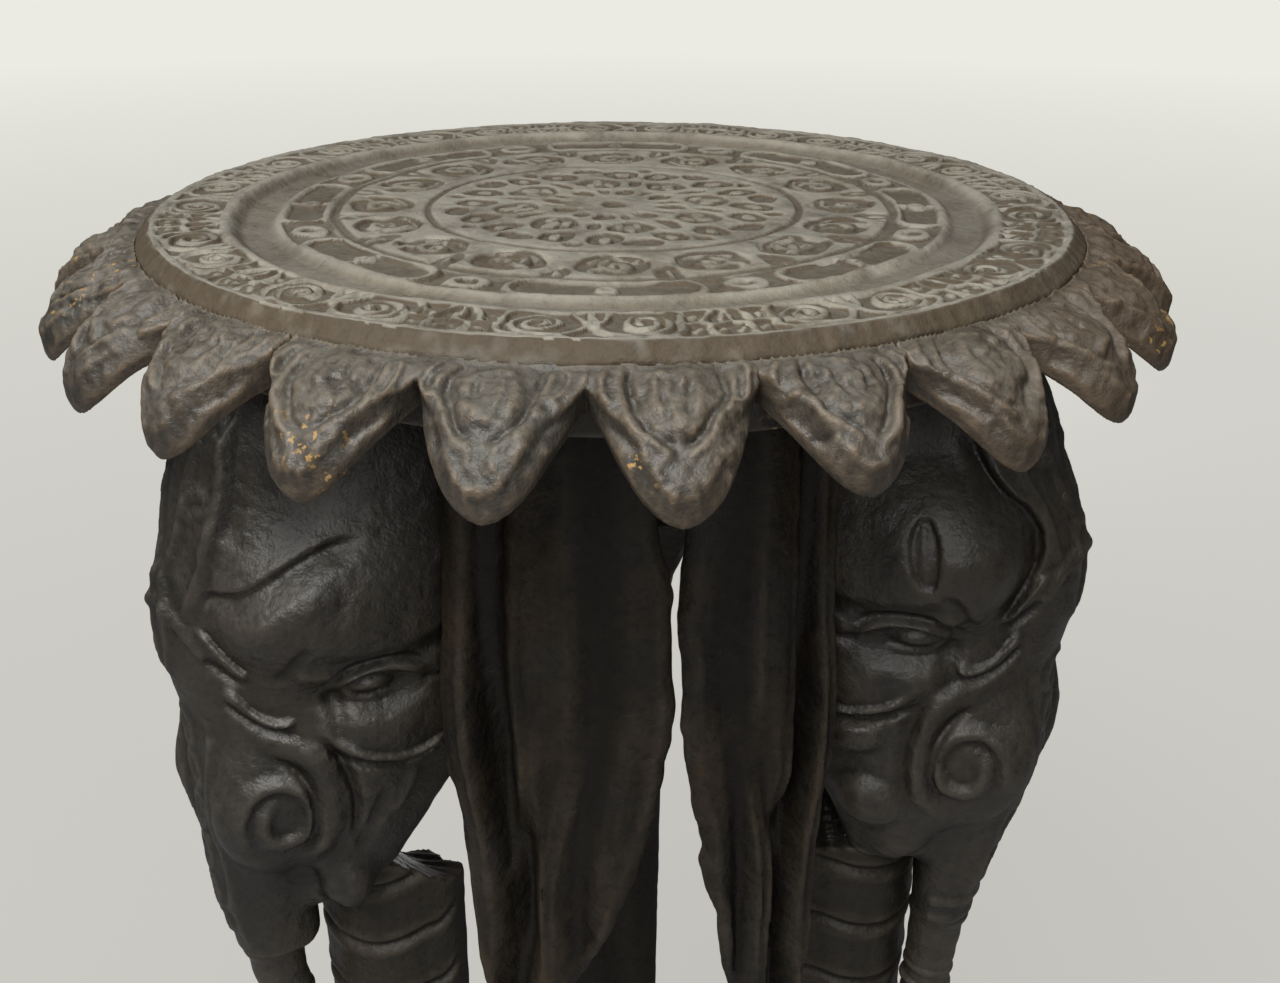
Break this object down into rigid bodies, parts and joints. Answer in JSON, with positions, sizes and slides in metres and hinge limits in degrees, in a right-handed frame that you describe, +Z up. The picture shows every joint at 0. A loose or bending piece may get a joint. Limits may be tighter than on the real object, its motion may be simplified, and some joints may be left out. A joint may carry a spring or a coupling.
{
  "type": "elephant plant stand",
  "caption": "Carved dark wood plant stand: a round top with a lotus-petal rim, carried on elephant heads with hanging ears, slender trunks and banded legs.",
  "frame": {"origin": "on the floor, under the middle of the round top", "axes": "+Z up; +Y towards the first elephant head, the others follow at thirds of a turn"},
  "size_m": [0.3856, 0.3856, 0.54],
  "materials": {
    "carved_top": "waxed, dusty in the carving",
    "petals": "waxed, worn brown at the edges",
    "elephant": "dark waxed, soft sheen",
    "ears": "dark waxed, soft sheen",
    "legs": "dark waxed",
    "plain_wood": "unpolished",
    "dowel_wood": "unfinished"
  },
  "bodies": {
    "root": {"top_disc": "carved_top", "core_block": "plain_wood", "apron_segment_1": "petals", "apron_segment_2": "petals", "apron_segment_3": "petals", "apron_segment_4": "petals", "apron_segment_5": "petals", "apron_segment_6": "petals", "head_1": "elephant", "ear_left_1": "ears", "ear_right_1": "ears", "trunk_1": "elephant", "leg_1": "legs", "head_2": "elephant", "ear_left_2": "ears", "ear_right_2": "ears", "trunk_2": "elephant", "leg_2": "legs", "head_3": "elephant", "ear_left_3": "ears", "ear_right_3": "ears", "trunk_3": "elephant", "leg_3": "legs", "apron_splines": "dowel_wood", "apron_pegs": "dowel_wood", "core_dowels": "dowel_wood", "head_dowels": "dowel_wood", "trunk_dowels": "dowel_wood"}
  },
  "joints": []
}
